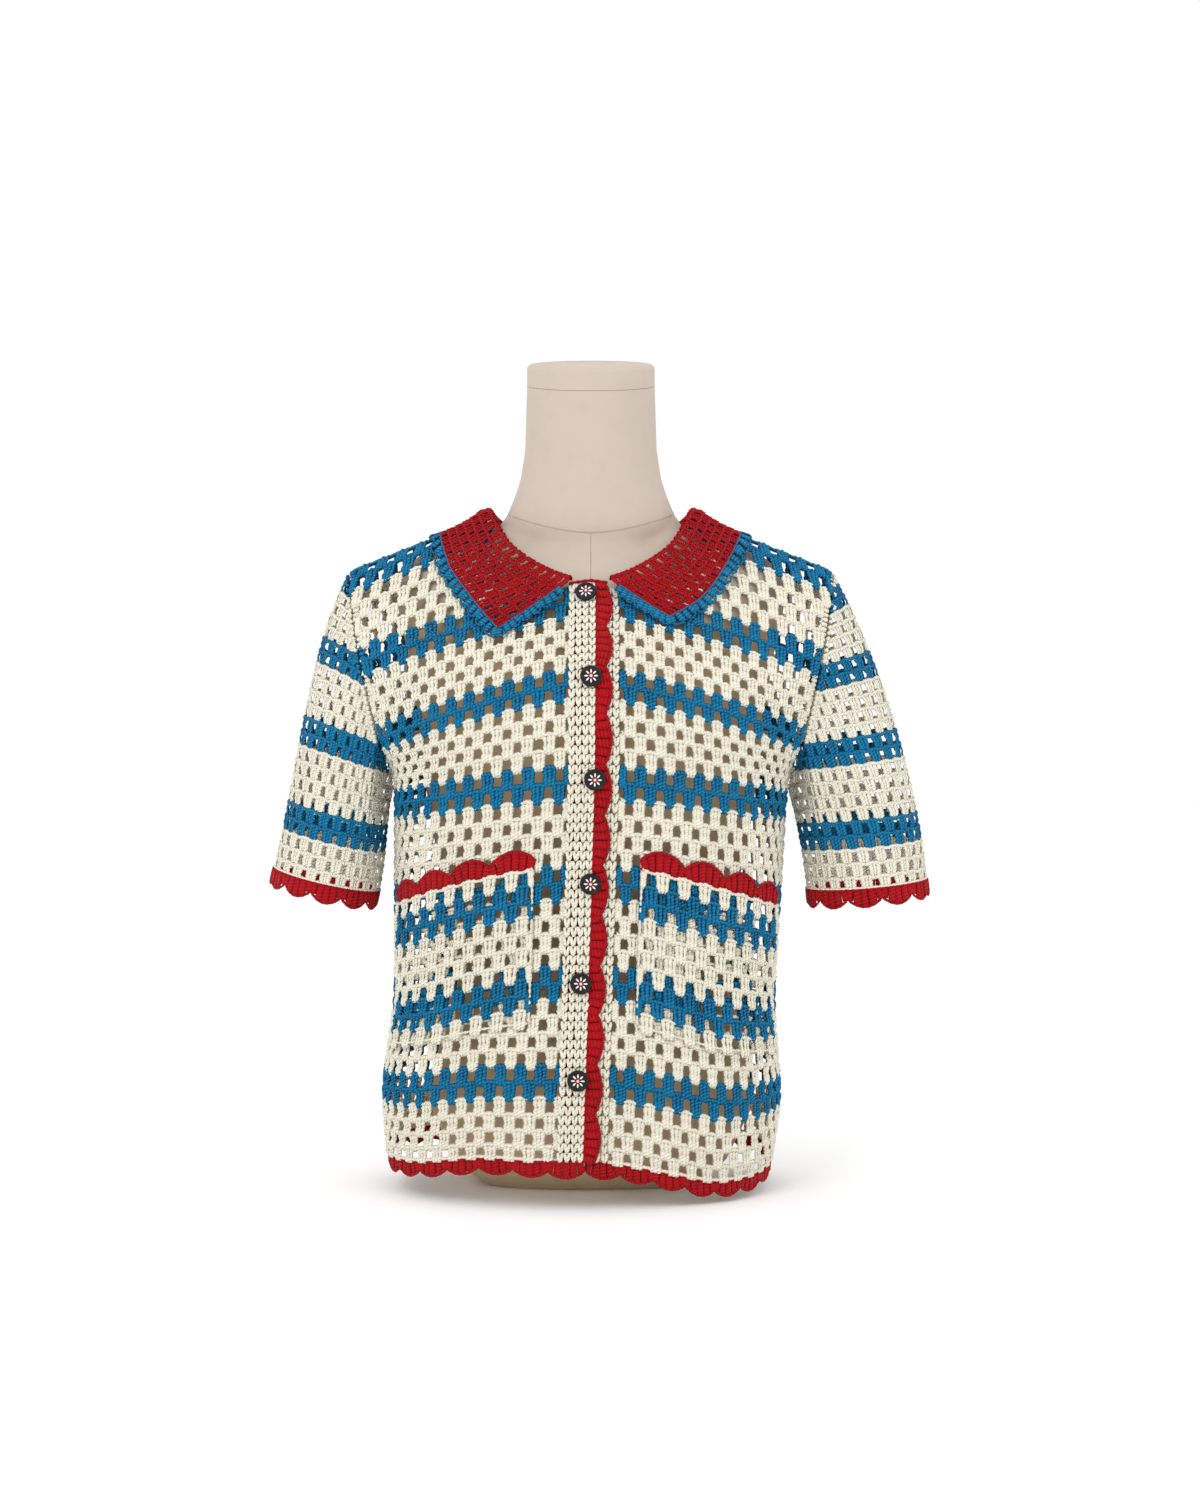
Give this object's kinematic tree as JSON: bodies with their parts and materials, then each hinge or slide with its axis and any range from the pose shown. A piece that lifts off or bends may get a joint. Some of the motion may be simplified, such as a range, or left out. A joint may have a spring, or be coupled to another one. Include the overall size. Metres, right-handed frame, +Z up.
{
  "type": "crochet cardigan on a limbless dress form",
  "caption": "Short-sleeved crochet cardigan with round collar, button front, patch pockets and scalloped edges, worn by a smooth limbless dress form.",
  "frame": {"origin": "centre of the flat underside of the dress form, under its neck", "axes": "+Z up the form's axis; the buttoned front faces -Y; +X is the wearer's left"},
  "size_m": [0.5705, 0.2596, 0.7181],
  "materials": {
    "cream_yarn": "matt wool yarn, crocheted in clusters, with blue rows",
    "red_yarn": "matt wool yarn, crocheted",
    "blue_yarn": "matt wool yarn, crocheted",
    "form_linen": "plain beige linen stretched on the form",
    "button_plastic": "glossy black rim round a painted flower"
  },
  "bodies": {
    "root": {"front_right": "cream_yarn", "front_left": "cream_yarn", "back": "cream_yarn", "sleeve_right": "cream_yarn", "sleeve_left": "cream_yarn", "button_band_right": "cream_yarn", "button_band_left": "cream_yarn", "pocket_right": "cream_yarn", "pocket_left": "cream_yarn", "collar": "red_yarn", "front_edging_right": "red_yarn", "front_edging_left": "red_yarn", "hem_edging_right": "red_yarn", "hem_edging_left": "red_yarn", "hem_edging_back": "red_yarn", "cuff_edging_right": "red_yarn", "cuff_edging_left": "red_yarn", "pocket_edging_right": "red_yarn", "pocket_edging_left": "red_yarn", "collar_edging": "blue_yarn", "dress_form_body": "form_linen", "dress_form_cap": "form_linen", "button_1": "button_plastic", "button_2": "button_plastic", "button_3": "button_plastic", "button_4": "button_plastic", "button_5": "button_plastic", "button_6": "button_plastic"}
  },
  "joints": []
}
